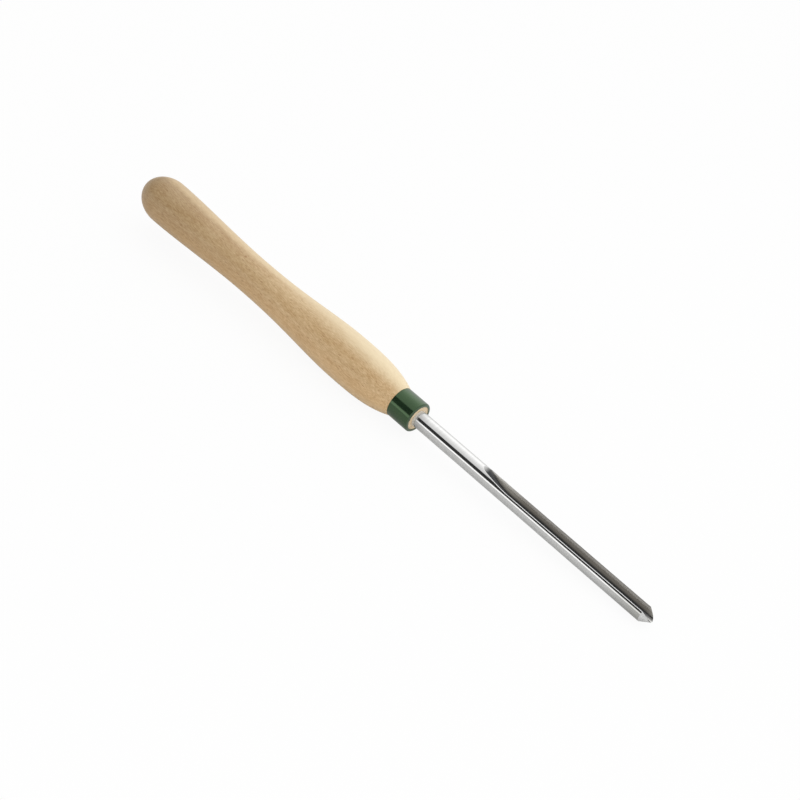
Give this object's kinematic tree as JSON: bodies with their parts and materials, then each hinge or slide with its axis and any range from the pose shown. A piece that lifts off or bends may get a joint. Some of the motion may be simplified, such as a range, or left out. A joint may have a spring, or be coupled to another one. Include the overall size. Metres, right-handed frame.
{
  "type": "bowl gouge",
  "caption": "Woodturning bowl gouge: a round steel bar with a milled flute and a ground bevel, bonded into a turned wooden handle behind a lacquered ferrule.",
  "frame": {"origin": "on the tool's axis, in the plane of the ferrule's front rim", "axes": "+X along the tool towards the cutting edge, +Z the way the flute opens"},
  "size_m": [0.5242, 0.0376, 0.0376],
  "materials": {
    "beech": "satin, turned and sanded",
    "green_lacquer": "gloss lacquer",
    "tool_steel": "ground and polished",
    "epoxy": "cured adhesive"
  },
  "bodies": {
    "root": {"handle": "beech", "ferrule": "green_lacquer", "blade": "tool_steel", "epoxy_sleeve": "epoxy"}
  },
  "joints": []
}
